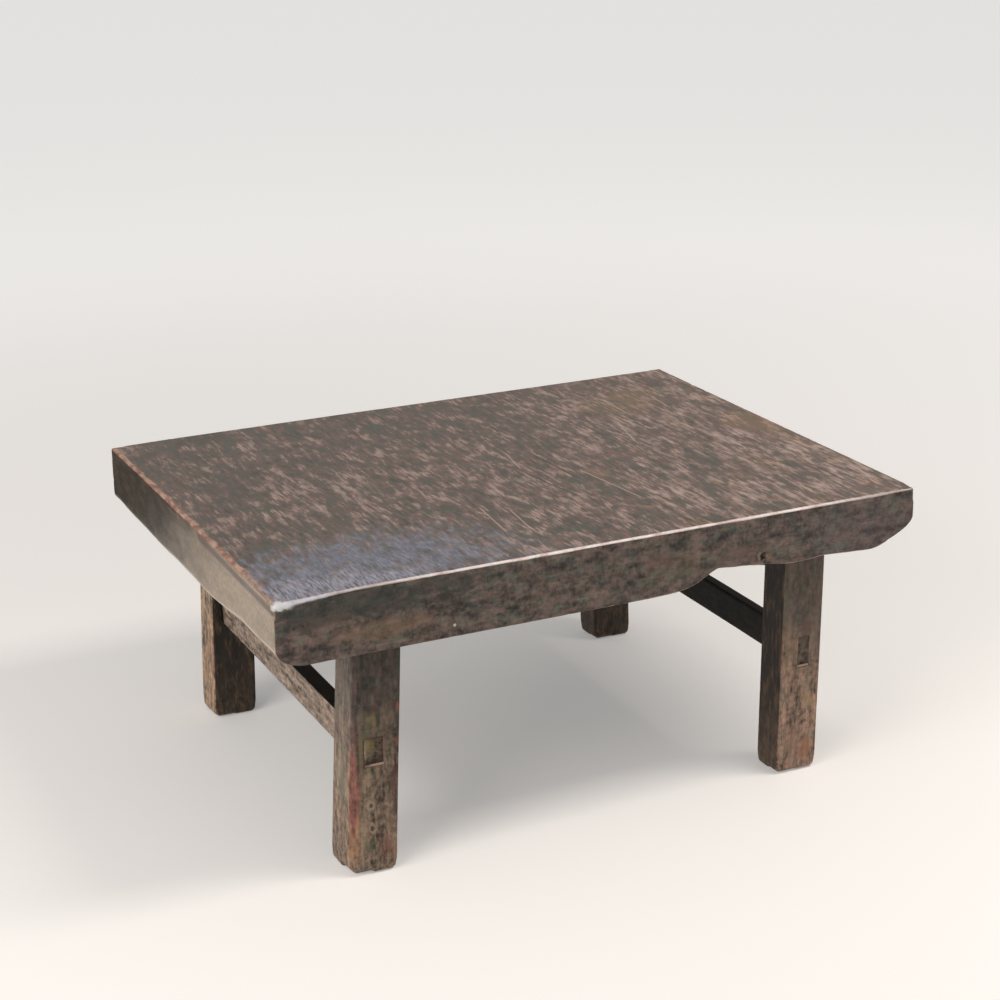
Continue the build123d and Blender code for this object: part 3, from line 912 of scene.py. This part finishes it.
# %% Ends
def rub_end(tree, place, colour, normal):
    """Bare end grain at the front of the left end, lacquer at its back and on the right end. The
    pale front is partly a painted reflection of the white floor, and the bevel's lip has a painted
    highlight.
    """
    slant = add(tree, VECTOR, {0: place, 1: (0.0, 1.0, 1.1)}, out="Value", operation="DOT_PRODUCT")
    uneven = lumps(tree, place, (40, 60, 26), 0.3, 0.7, 15.0)
    moved = add(tree, MATH, {0: uneven, 1: 0.09, 2: slant}, operation="MULTIPLY_ADD")
    kept = between(tree, moved, 248, 560)
    fine = lumps(tree, place, (6, 5, 5), 0.35, 0.7, 16.0)
    # The pale tone: bare end grain and a painted reflection of the white floor together
    bare_grain_and_reflection = over(tree, "#8d7e6c", "#a2917e", fine)
    bare_grain_and_reflection = over(tree, bare_grain_and_reflection, "#7b6f62", lumps(tree, place, (10, 30, 14), 0.44, 0.68, 33.0), 0.5)
    dark = over(tree, "#1f1b15", "#352e25", fine)
    dark = over(tree, dark, "#4d4335", lumps(tree, place, (10, 26, 12), 0.42, 0.62, 34.0), 0.6)
    tone = add(tree, MIX, {0: kept, 6: bare_grain_and_reflection, 7: dark}, out=2, data_type="RGBA")
    streaks = lumps(tree, place, (6, 40, 2.2), 0.52, 0.70, 17.0)
    tone = over(tree, tone, "#5f5344", streaks, 0.3)
    colour = over(tree, colour, tone, looking(tree, normal, (-1, 0, 0), 0.45, 0.85))
    # The bevel under it is darker, and its lip gets a painted highlight, pale at the front
    under = looking(tree, normal, (-0.6, 0, -0.8), 0.84, 0.95)
    colour = over(tree, colour, "#5f5347", under, 0.75)
    lip_highlight = looking(tree, normal, (-0.94, 0, -0.34), 0.975, 0.995)
    lip_highlight_tone = add(tree, MIX, {0: kept, 6: "#c6b9a7", 7: "#5c5143"}, out=2, data_type="RGBA")
    broken = lumps(tree, place, (14, 14, 12), 0.28, 0.5, 24.0)
    colour = over(tree, colour, lip_highlight_tone, both(tree, lip_highlight, broken), 0.8)
    # The right end has kept its lacquer, mottled as the long faces are
    far = over(tree, "#5f5145", "#46413a", lumps(tree, place, (16, 20, 12), 0.44, 0.62, 35.0))
    far = lighten(tree, far, wear_depth(tree, place, FACE_MOTTLES), 0.30, 1.75)
    right_end = looking(tree, normal, (1, 0, 0), 0.5, 0.85)
    return over(tree, colour, far, right_end, 0.9)


# %% Arrises
def wear_arrises(tree, place, normal, arris, colour):
    """Bare wood along the arrises, with painted highlights on the front arris and the near left
    corner, and partly on the left end's arris. Gives the colour and the mask of the polished front
    arris.
    """
    parts = add(tree, "ShaderNodeSeparateXYZ", {0: place}).node.outputs
    high = between(tree, parts[2], 350, 362)
    at_front = both(tree, add(tree, RANGE, {0: parts[1], 1: -0.295, 2: -0.305},
                              interpolation_type="SMOOTHSTEP"), high)
    at_left = both(tree, add(tree, RANGE, {0: parts[0], 1: -0.400, 2: -0.410},
                             interpolation_type="SMOOTHSTEP"), high)
    waver = lumps(tree, place, (26, 26, 10), 0.3, 0.7, 18.0)
    broken = lumps(tree, place, (11, 11, 9), 0.34, 0.56, 19.0)
    plain = both(tree, near_arris(tree, arris, 0.6, 1.9, waver), broken)
    colour = over(tree, colour, "#8e7a6f", plain, 0.65)
    # Along the left end it is rubbed to the red ground coat, wider here and narrower there, and its
    # pale pink patches are partly a painted highlight
    upper = looking(tree, normal, (0, 0, 1), 0.15, 0.5)
    left = both(tree, near_arris(tree, arris, 6.0, 11.0, waver), both(tree, at_left, upper))
    rust = over(tree, "#8a5b4a", "#bf9c8a", lumps(tree, place, (9, 22, 9), 0.38, 0.62, 25.0))
    fading = add(tree, RANGE, {0: parts[1], 1: -0.30, 2: -0.20, 3: 0.35, 4: 0.85},
                 interpolation_type="SMOOTHSTEP")
    softly = add(tree, MATH, {0: broken, 1: 0.25, 2: 0.75}, operation="MULTIPLY_ADD")
    colour = over(tree, colour, rust, both(tree, both(tree, left, softly), fading))
    # Along the front it is worn to pale wood where the arris is roundest, and a near-white painted
    # highlight is laid over it on the faces that would mirror the overhead strip
    front = both(tree, looking(tree, normal, (0, -0.68, 0.73), 0.84, 0.96), at_front)
    rising = between(tree, parts[0], -330, -160)
    falling = add(tree, RANGE, {0: parts[0], 1: 0.24, 2: 0.40, 3: 1.0, 4: 0.4},
                  interpolation_type="SMOOTHSTEP")
    ivory_highlight = add(tree, MATH, {0: rising, 1: 0.35, 2: 0.5}, operation="MULTIPLY_ADD")
    ivory_highlight = both(tree, ivory_highlight, falling)
    worn_wood_highlight = over(tree, "#cbb4b0", "#ece4e2", lumps(tree, place, (26, 20, 20), 0.35, 0.6, 27.0))
    colour = over(tree, colour, worn_wood_highlight, both(tree, front, ivory_highlight))
    # The near left corner gets a bluish-white painted highlight over its worn wood, in a patch that
    # runs out along the front
    corner = spot(tree, place, (-421, -320, 377), (17, 9, 7), broken)
    colour = over(tree, colour, "#d3d6d4", corner, 0.85)
    highlight_tail = scratch(tree, place, (-424, -319, 377), (-356, -320, 382), 5.0)
    colour = over(tree, colour, "#c6c9d4", both(tree, highlight_tail, broken), 0.75)
    # The wane's own arris shows as a thin pale line
    low_front = looking(tree, normal, (0, -0.9, -0.43), 0.80, 0.95)
    at_wane = both(tree, between(tree, parts[0], 20, 70), near_arris(tree, arris, 1.2, 2.2, waver))
    return over(tree, colour, "#a08c84", both(tree, low_front, at_wane), 0.8), front


# %% Lacquer on the plank
def plank_lacquer():
    """Black lacquer, rubbed in short strokes across the top and worn off the arrises."""
    made = bpy.data.materials.new("black_lacquer_on_elm_plank")
    tree = empty_tree(made)
    place = add(tree, "ShaderNodeTexCoord", out="Object")
    normal = add(tree, "ShaderNodeNewGeometry", out="Normal")
    arris = add(tree, "ShaderNodeAttribute", out="Fac", attribute_name="arris")
    top = facing(tree, normal, 2, both_ways=False)
    ragged = lumps(tree, place, (22, 22, 9), 0.3, 0.7, 20.0)

    # Ground: green-black lacquer, red-brown where it is thin
    colour = over(tree, "#24251f", "#38302a", lumps(tree, place, (60, 80, 30), 0.40, 0.60, 1.0))
    colour = over(tree, colour, "#4f3835", lumps(tree, place, (15, 32, 9), 0.52, 0.68, 21.0), 0.7)

    # The polished corner: less wear and more gloss, and also the mask of the painted sheen
    brushed = lumps(tree, place, (9, 24, 12), 0.2, 0.8, 28.0)
    polished = spot(tree, place, (-290, -262, 383), (235, 130, 60), brushed)
    colour, rubbed = rub_top(tree, place, colour, top, polished)
    long_face = facing(tree, normal, 1)
    mottled, grain = mottle_face(tree, place, long_face)
    colour = over(tree, colour, mottled, long_face)
    for middle, reach, tint, strength in FRONT_PATCHES + TOP_PATCHES + LEFT_END_PATCHES:
        colour = over(tree, colour, tint, spot(tree, place, middle, reach, ragged), strength)
    colour = paint_corner_sheen(tree, place, colour, top, polished, brushed)
    colour = rub_end(tree, place, colour, normal)
    for tint, strength, scratches in (("#b59c8e", 0.7, PALE_SCRATCHES),
                                      ("#201d1a", 0.85, DARK_SCRATCHES)):
        for start, finish, width in scratches:
            mark = both(tree, scratch(tree, place, start, finish, width), top)
            colour = over(tree, colour, tint, mark, strength)
    # A dark band of painted shade just under the left end's top arris
    painted_edge_shade = scratch(tree, place, (-425, -60, 375), (-425, -322, 370), 6.5)
    colour = over(tree, colour, "#46342a", painted_edge_shade, 0.8)
    colour, front_arris = wear_arrises(tree, place, normal, arris, colour)
    for middle, reach, tint, strength in KNOT_PATCHES:
        colour = over(tree, colour, tint, spot(tree, place, middle, reach, ragged), strength)

    # Gloss: the lacquer is a dull polish, rubbed wood is duller, the polished corner and front
    # arris shine
    matt = add(tree, MATH, {0: rubbed, 1: 0.16, 2: 0.34}, operation="MULTIPLY_ADD")
    shine = add(tree, MATH, {0: polished, 1: front_arris}, operation="MAXIMUM")
    matt = add(tree, MIX, {0: shine, 2: matt, 3: 0.24}, data_type="FLOAT")
    heights = add(tree, MATH, {0: rubbed, 1: -0.5, 2: grain}, operation="MULTIPLY_ADD")
    bump = add(tree, "ShaderNodeBump", {"Height": heights, "Strength": 0.6, "Distance": 0.3 * MM})
    shader = add(tree, "ShaderNodeBsdfPrincipled", {
        "Base Color": colour, "Roughness": matt, "IOR": 1.5, "Specular IOR Level": 0.32,
        "Normal": bump})
    add(tree, "ShaderNodeOutputMaterial", {"Surface": shader})
    print(made.name, len(tree.nodes), "nodes")
    return made


plank.data.materials.append(plank_lacquer())

# %% [markdown]
# ### The legs and stretchers
#
# Only the outer faces of these were ever touched. They have faded to a grey-brown, and are warmer
# and more scuffed towards the feet. The faces that look under the table get painted shade: near
# black, less so at the feet, over lacquer that has worn least there. The near left leg has a flat
# where its corner was hewn away, and the red ground coat shows there.

# %% Lacquer on the legs and stretchers
def bar_lacquer(name, strokes_mm, side, front, shaded_ways, marks=(), flat_arris=False,
                shaded=("#191613", "#54422f"), gloss=0.30, calm=0.0):
    """Lacquer on a hewn bar. side and front are the tones, high up and low down, of the outer
    faces along X and along Y. shaded_ways lists the ways that the faces with painted shade look,
    and shaded has the two tones of that painted shade. marks are patches, and flat_arris is whether
    the red coat shows at a hewn-off corner. gloss is how strongly the lacquer mirrors, where 0.5 is
    fresh lacquer, and calm is the share of the mottling that is missing high up."""
    made = bpy.data.materials.new(name)
    tree = empty_tree(made)
    place = add(tree, "ShaderNodeTexCoord", out="Object")
    normal = add(tree, "ShaderNodeNewGeometry", out="Normal")
    arris = add(tree, "ShaderNodeAttribute", out="Fac", attribute_name="arris")
    height = add(tree, "ShaderNodeSeparateXYZ", {0: place}, out=2)
    small, blotch, wide = [tuple(size * times + more for size in strokes_mm)
                           for times, more in ((0.3, 2), (1.1, 4), (4, 3))]

    # The two faces' tones, which change on the way down
    uneven = lumps(tree, place, wide, 0.3, 0.7, 1.0)
    moved = add(tree, MATH, {0: uneven, 1: -0.07, 2: height}, operation="MULTIPLY_ADD")
    high_up = between(tree, moved, 60, 190)
    side_tone = over(tree, side[1], side[0], high_up)
    front_tone = over(tree, front[1], front[0], high_up)
    colour = over(tree, front_tone, side_tone, facing(tree, normal, 0))

    # Green and red mottles, then strokes along the bar: black where the lacquer is whole, paler
    # where it is thin, and bare here and there low down
    mottle = lumps(tree, place, blotch, 0.48, 0.64, 4.0)
    colour = over(tree, colour, "#414a3d", mottle, 0.5)
    red = lumps(tree, place, blotch, 0.54, 0.70, 7.0)
    colour = over(tree, colour, "#67443f", red, 0.5)
    layers = [(wide, 2.0, 0.22), (blotch, 9.0, 0.34), ((7, 7, 7), 10.0, 0.30),
              (strokes_mm, 11.0, 0.14)]
    still = add(tree, MATH, {0: high_up, 1: calm}, operation="MULTIPLY")
    depth = wear_depth(tree, place, layers)
    depth = add(tree, MIX, {0: still, 2: depth, 3: 0.5}, data_type="FLOAT")
    colour = lighten(tree, colour, depth, 0.20, 1.95)
    low_down = add(tree, RANGE, {0: height, 1: 0.02, 2: 0.20, 3: 1.0, 4: 0.0})
    gone = lumps(tree, place, small, 0.64, 0.76, 3.0, lift=low_down)
    colour = over(tree, colour, "#a8917f", gone, 0.4)
    ragged = lumps(tree, place, tuple(size * 3 for size in strokes_mm), 0.3, 0.7, 5.0)
    for middle, reach, tint, strength in marks:
        colour = over(tree, colour, tint, spot(tree, place, middle, reach, ragged), strength)
    if flat_arris:
        way = looking(tree, normal, (-0.707, -0.707, 0.0), 0.86, 0.97)
        rust = over(tree, "#886750", "#78483f", between(tree, moved, 20, 70))
        strip = over(tree, rust, "#50403c", between(tree, moved, 85, 145))
        strip = lighten(tree, strip, wear_depth(tree, place, layers), 0.5, 1.5)
        broken = lumps(tree, place, (5, 5, 16), 0.26, 0.50, 8.0)
        broken = both(tree, broken, between(tree, height, 8, 34))
        colour = over(tree, colour, strip, both(tree, way, broken), 0.9)

    # The arrises are worn. The faces that look under the table get painted shade, near black,
    # though less so at the feet
    waver = lumps(tree, place, (14, 14, 40), 0.3, 0.7, 6.0)
    worn = near_arris(tree, arris, 0.6, 2.4, waver)
    colour = over(tree, colour, "#967c6c", worn, 0.5)
    shade = over(tree, *shaded, lumps(tree, place, blotch, 0.46, 0.72, 12.0))
    black = add(tree, RANGE, {0: height, 1: 0.02, 2: 0.12, 3: 0.74, 4: 0.95})
    for way in shaded_ways:
        colour = over(tree, colour, shade, both(tree, looking(tree, normal, way), black))
    bump = add(tree, "ShaderNodeBump", {"Height": gone, "Strength": 0.5, "Distance": 0.3 * MM})
    shader = add(tree, "ShaderNodeBsdfPrincipled", {
        "Base Color": colour, "Roughness": 0.5, "IOR": 1.5, "Specular IOR Level": gloss,
        "Normal": bump})
    add(tree, "ShaderNodeOutputMaterial", {"Surface": shader})
    return made


# %% Each leg's own marks: middle and reach in mm, tint and strength
FRONT_LEFT_MARKS = [
    ((-266, -283, 212), (4, 7, 9), "#8f5046", 0.7),
    ((-267, -282, 168), (4, 7, 8), "#8f5046", 0.6),
    ((-305, -282, 172), (13, 9, 16), "#6c6148", 0.4),
    ((-314, -282, 160), (2.5, 8, 34), "#7a6c4a", 0.4),
    ((-297, -282, 188), (16, 8, 3), "#7a6c4a", 0.4),
    ((-272, -282, 110), (8, 9, 40), "#61413c", 0.6),
    ((-266, -281, 20), (16, 9, 24), "#8a6252", 0.6),
    ((-318, -282, 95), (5, 9, 60), "#70654a", 0.35),
    ((-302, -282, 202), (8, 8, 10), "#7d7048", 0.5),
    ((-307, -282, 40), (9, 8, 13), "#56604a", 0.5),
    ((-284, -282, 33), (12, 8, 20), "#84544a", 0.5),
    ((-326, -250, 122), (10, 15, 52), "#6d7060", 0.5),
]
# Two knots, one above the other, each a pale ring round a dark heart
for knot_middle, ring_reach, heart_reach in (
        ((-302.5, -282, 91), (8, 8, 9), (3.4, 8, 4)),
        ((-301.5, -282, 61), (7, 8, 8.5), (3.2, 8, 4))):
    FRONT_LEFT_MARKS.append((knot_middle, ring_reach, "#9c8a78", 0.8))
    FRONT_LEFT_MARKS.append((knot_middle, heart_reach, "#3a312a", 0.9))
FRONT_RIGHT_MARKS = [
    ((276, -278, 151), (13, 9, 1.8), "#9c8562", 0.6),
    ((296, -278, 147), (13, 9, 1.8), "#9c8562", 0.6),
    ((308, -276, 32), (11, 10, 24), "#96664e", 0.7),
    ((306, -278, 100), (8, 9, 13), "#9c8562", 0.6),
    ((288, -276, 40), (16, 10, 30), "#8a6f5f", 0.5),
    ((272, -278, 190), (4, 9, 60), "#8f7d5f", 0.4),
    ((300, -279, 205), (12, 9, 18), "#61483f", 0.5),
]
BACK_LEFT_MARKS = [((-330, 235, 110), (9, 20, 60), "#8f6250", 0.3)]
LEFT_STRETCHER_MARKS = [((-303, -283, 170), (9, 8, 12), "#73663f", 0.5)]  # on its front tenon
print("marks on the front legs:", len(FRONT_LEFT_MARKS), "and", len(FRONT_RIGHT_MARKS))

# %% Each leg's own tones
LEG_FINISH = {  # side tones, front tones, ways of the faces with painted shade, marks
    "front_left": (("#62564c", "#836e5e"), ("#423a33", "#6b5b4d"),
                   ((1, 0, 0), (0, 1, 0)), FRONT_LEFT_MARKS),
    "back_left": (("#8f7a63", "#a3866c"), ("#473d33", "#5c4c3c"),
                  ((1, 0, 0), (0, -1, 0)), BACK_LEFT_MARKS),
    "front_right": (("#6b5b4c", "#7f6650"), ("#5b5048", "#856c5d"),
                    ((-1, 0, 0), (0, 1, 0)), FRONT_RIGHT_MARKS),
    "back_right": (("#6b5b4c", "#7f6650"), ("#4a4036", "#6c5a45"),
                   ((-1, 0, 0), (0, -1, 0)), ()),
}
CALM_ABOVE = {"front_left": 0.25, "front_right": 0.55}
for name, leg in legs.items():
    side, front, shaded_ways, marks = LEG_FINISH[name]
    leg.data.materials.clear()
    leg.data.materials.append(bar_lacquer(
        "black_lacquer_on_leg_" + name, (2.6, 2.6, 20), side, front, shaded_ways, marks,
        flat_arris=name == "front_left", calm=CALM_ABOVE.get(name, 0.0)))
# The stretchers' inner, top and lower faces get darker painted shade than the legs
for side, inward, marks in (("left", 1, LEFT_STRETCHER_MARKS), ("right", -1, ())):
    rails[side].data.materials.clear()
    rails[side].data.materials.append(bar_lacquer(
        "black_lacquer_on_stretcher_" + side, (2.6, 20, 2.6), ("#8c7c70", "#8c7c70"),
        ("#574c42", "#574c42"), ((inward, 0, 0), (0, 0, 1), (0, 0, -1)), marks,
        shaded=("#0f0e0c", "#1c1916"), gloss=0.14, calm=0.35))
print("finishes:", len(bpy.data.materials))

# %% Bare hardwood of the wedges
def bare_wedge():
    """Pale hardwood, cut along the grain and darkened only by handling."""
    made = bpy.data.materials.new("bare_hardwood_wedge")
    tree = empty_tree(made)
    place = add(tree, "ShaderNodeTexCoord", out="Object")
    grain = lumps(tree, place, (1.6, 22, 1.0), 0.35, 0.7, 1.0)
    colour = over(tree, "#a58c80", "#7c6657", grain, 0.8)
    grime = spot(tree, place, (-308, -283, 143.5), (8, 8, 8), grain)  # on the near left wedge
    colour = over(tree, colour, "#5a4b40", grime, 0.85)
    bump = add(tree, "ShaderNodeBump", {"Height": grain, "Strength": 0.4, "Distance": 0.2 * MM})
    shader = add(tree, "ShaderNodeBsdfPrincipled", {
        "Base Color": colour, "Roughness": 0.5, "IOR": 1.5, "Normal": bump})
    add(tree, "ShaderNodeOutputMaterial", {"Surface": shader})
    return made


wedge_wood = bare_wedge()
wedges = [node for name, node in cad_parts.items() if "wedge" in name]
for wedge in wedges:
    wedge.data.materials.clear()
    wedge.data.materials.append(wedge_wood)
print("wedges:", len(wedges))

# %% Stand the pieces in for their CAD nodes
STANDS_FOR = [(plank, "slab_top", "lacquered_plank")]
STANDS_FOR += [(leg, "leg_" + name, "lacquered_leg") for name, leg in legs.items()]
STANDS_FOR += [(rail, "stretcher_" + side, "lacquered_rail") for side, rail in rails.items()]
for piece, node_name, slot_name in STANDS_FOR:
    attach(piece, "root")
    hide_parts(node_name)
print("pieces that stand in for a node:", len(STANDS_FOR))

# %% [markdown]
# ## Floor and light
#
# The light is wide and soft: one large softbox at the left, a long one overhead that runs along
# the front arris and draws its shine, and a dim room round them. The floor is white and throws a
# good deal of it back up on the legs. A wall that only reflections can see stands behind the
# table, because dark lacquer shows what is behind it.

# %% Floor
def plain_plane(name, corners):
    """A single flat face, for the floor or the wall."""
    mesh = bpy.data.meshes.new(name)
    mesh.from_pydata(corners, [], [(0, 1, 2, 3)])
    made = bpy.data.objects.new(name, mesh)
    bpy.context.scene.collection.objects.link(made)
    return made


floor = plain_plane("floor", [(-20, -20, 0), (20, -20, 0), (20, 20, 0), (-20, 20, 0)])
floor_white = bpy.data.materials.new("white_floor")
tree = empty_tree(floor_white)
ray = add(tree, "ShaderNodeLightPath").node.outputs
seen = add(tree, MATH, {0: ray["Is Camera Ray"], 1: ray["Is Glossy Ray"]}, operation="MAXIMUM")
place = add(tree, "ShaderNodeTexCoord", out="Object")
away = add(tree, VECTOR, {0: place}, out="Value", operation="LENGTH")
pale = add(tree, RANGE, {0: away, 1: 0.4, 2: 3.6, 3: 0.23, 4: 0.50},
           interpolation_type="SMOOTHSTEP")
glow = add(tree, MATH, {0: seen, 1: pale}, operation="MULTIPLY")
shader = add(tree, "ShaderNodeBsdfPrincipled", {
    "Base Color": "#e6e4e1", "Roughness": 0.8, "Emission Color": "#ffffff",
    "Emission Strength": glow})
add(tree, "ShaderNodeOutputMaterial", {"Surface": shader})
floor.data.materials.append(floor_white)
print("floor glow:", len(tree.nodes), "nodes")

# %% Wall for the reflections
WALL_FACES = Vector((-0.4603, -0.8878, 0.0))  # the way from the wall to the table
WALL_BEHIND = 0.5856  # m from the middle of the table
WALL_HALF_WIDTH, WALL_HEIGHT = 3.0, 1.3
wall_along = Vector((-WALL_FACES.y, WALL_FACES.x, 0.0))
wall = plain_plane("reflected_wall", [
    tuple(-WALL_BEHIND * WALL_FACES + wall_along * side * WALL_HALF_WIDTH + Vector((0, 0, height)))
    for side, height in ((-1, 0), (1, 0), (1, WALL_HEIGHT), (-1, WALL_HEIGHT))])
wall.visible_camera = wall.visible_diffuse = wall.visible_shadow = False
wall_grey = bpy.data.materials.new("grey_wall")
tree = empty_tree(wall_grey)
place = add(tree, "ShaderNodeTexCoord", out="Object")
height = add(tree, "ShaderNodeSeparateXYZ", {0: place}, out=2)
base = add(tree, RANGE, {0: height, 1: 0.05, 2: 0.55}, interpolation_type="SMOOTHSTEP")
tone = add(tree, MIX, {0: base, 6: "#5a534c", 7: "#d6cdc6"}, out=2, data_type="RGBA")
shader = add(tree, "ShaderNodeEmission", {"Color": tone, "Strength": 1.0})
add(tree, "ShaderNodeOutputMaterial", {"Surface": shader})
wall.data.materials.append(wall_grey)
print("wall:", WALL_BEHIND, "m behind the table")

# %% Sky
world = bpy.data.worlds.new("bright_yard")
bpy.context.scene.world = world
tree = empty_tree(world)
way = add(tree, "ShaderNodeTexCoord", out="Generated")
up = add(tree, "ShaderNodeSeparateXYZ", {0: way}, out=2)
high_up = add(tree, RANGE, {0: up, 1: -0.1, 2: 0.9}, interpolation_type="SMOOTHSTEP")
sky = add(tree, MIX, {0: high_up, 6: "#b5aca4", 7: "#f4f1ee"}, out=2, data_type="RGBA")
left = add(tree, VECTOR, {0: way, 1: (-0.85, -0.45, 0.25)}, out="Value", operation="DOT_PRODUCT")
lit = add(tree, RANGE, {0: left, 1: -1.0, 2: 1.0, 3: 0.15, 4: 0.6})
light_path = add(tree, "ShaderNodeLightPath", out="Is Camera Ray")
strength = add(tree, MIX, {0: light_path, 2: lit, 3: 1.0}, data_type="FLOAT")
shown = add(tree, MIX, {0: light_path, 6: sky, 7: "#f4f1ee"}, out=2, data_type="RGBA")
background = add(tree, "ShaderNodeBackground", {"Color": shown, "Strength": strength})
add(tree, "ShaderNodeOutputWorld", {"Surface": background})
print("sky:", len(tree.nodes), "nodes")

# %% Lamps
def soft_box(name, place, turn_degrees, size, watts, tint):
    """A flat rectangular lamp. It shines down until it is turned."""
    lamp = bpy.data.objects.new(name, bpy.data.lights.new(name, "AREA"))
    lamp.data.shape = "RECTANGLE"
    lamp.data.size, lamp.data.size_y = size
    lamp.data.energy = watts
    lamp.data.color = linear(tint)[:3]
    lamp.location = place
    lamp.rotation_euler = [math.radians(angle) for angle in turn_degrees]
    bpy.context.scene.collection.objects.link(lamp)
    print("lamp:", name, watts, "W")


soft_box("left_soft_box", (-2.6, -1.2, 1.5), (66, 0, -65), (2.0, 1.6), 53.0, "#fff8f2")
soft_box("overhead_strip", (1.1, -0.95, 2.2), (26.6, 0, 0), (1.5, 0.55), 31.0, "#fff6ee")
